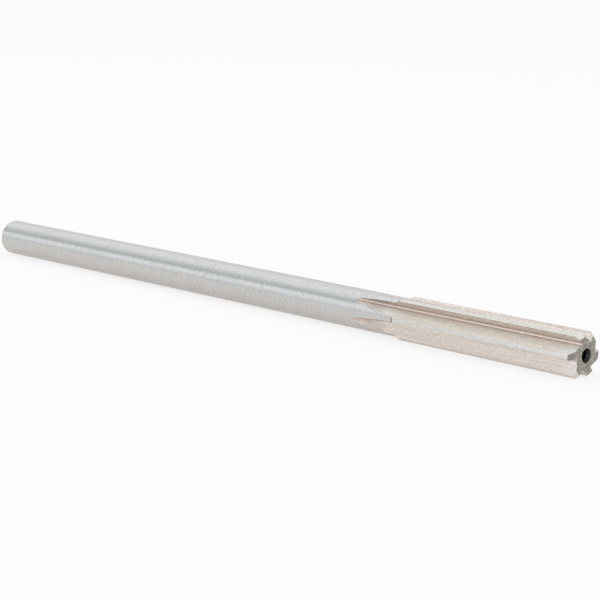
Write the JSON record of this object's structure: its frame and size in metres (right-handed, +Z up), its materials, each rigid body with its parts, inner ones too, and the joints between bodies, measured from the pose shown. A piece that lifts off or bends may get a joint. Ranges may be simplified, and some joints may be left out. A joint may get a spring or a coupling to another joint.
{
  "type": "reamer",
  "caption": "Long round cutting tool with straight flutes at one end and a plain shank, used to finish a drilled hole to size.",
  "frame": {"origin": "on the bench, straight below the middle of the tool's length", "axes": "+X along the tool's axis towards the cutting end, +Z up from the bench"},
  "size_m": [0.1524, 0.008, 0.0072],
  "materials": {
    "ground_steel": "bright ground tool steel, ground round on the shank and lengthwise in the flutes"
  },
  "bodies": {
    "root": {"reamer": "ground_steel"}
  },
  "joints": []
}
